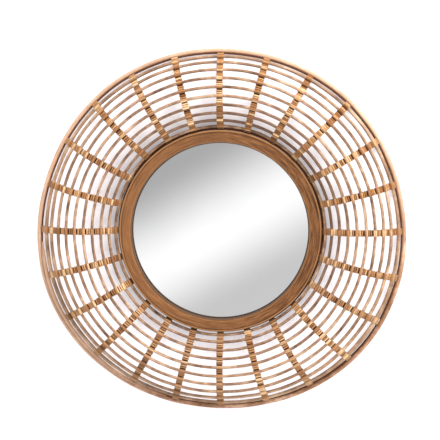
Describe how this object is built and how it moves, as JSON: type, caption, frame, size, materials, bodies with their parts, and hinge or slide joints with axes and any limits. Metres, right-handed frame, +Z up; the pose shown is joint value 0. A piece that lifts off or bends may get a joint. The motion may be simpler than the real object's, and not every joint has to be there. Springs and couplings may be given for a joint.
{
  "type": "wall mirror",
  "caption": "Round wall mirror: a glass recessed in a wooden ring, framed by a doughnut-shaped lattice of thin rattan hoops on peel-bound ribs; hangs flat on a wall.",
  "frame": {"origin": "middle of the wall hanger's flat back face, on the wall plane, above the mirror's own centre", "axes": "+Z up, +Y into the wall; the mirror faces -Y"},
  "size_m": [0.7998, 0.0684, 0.7998],
  "materials": {
    "rim_rattan": "satin",
    "hoop_rattan": "satin",
    "bound_rattan": "satin",
    "ring_wood": "satin varnish",
    "silvered_glass": "polished",
    "fibre_board": "matte",
    "zinc_steel": "zinc plated"
  },
  "bodies": {
    "root": {"rim_hoop": "rim_rattan", "hoop_01": "hoop_rattan", "hoop_02": "hoop_rattan", "hoop_03": "hoop_rattan", "hoop_04": "hoop_rattan", "hoop_05": "hoop_rattan", "hoop_06": "hoop_rattan", "hoop_07": "hoop_rattan", "hoop_08": "hoop_rattan", "hoop_09": "hoop_rattan", "hoop_10": "hoop_rattan", "rib_01": "bound_rattan", "rib_02": "bound_rattan", "rib_03": "bound_rattan", "rib_04": "bound_rattan", "rib_05": "bound_rattan", "rib_06": "bound_rattan", "rib_07": "bound_rattan", "rib_08": "bound_rattan", "rib_09": "bound_rattan", "rib_10": "bound_rattan", "rib_11": "bound_rattan", "rib_12": "bound_rattan", "rib_13": "bound_rattan", "rib_14": "bound_rattan", "rib_15": "bound_rattan", "rib_16": "bound_rattan", "rib_17": "bound_rattan", "rib_18": "bound_rattan", "rib_19": "bound_rattan", "rib_20": "bound_rattan", "rib_21": "bound_rattan", "rib_22": "bound_rattan", "rib_23": "bound_rattan", "rib_24": "bound_rattan", "mirror_ring": "ring_wood", "mirror_glass": "silvered_glass", "back_board": "fibre_board", "wall_hanger": "zinc_steel"}
  },
  "joints": []
}
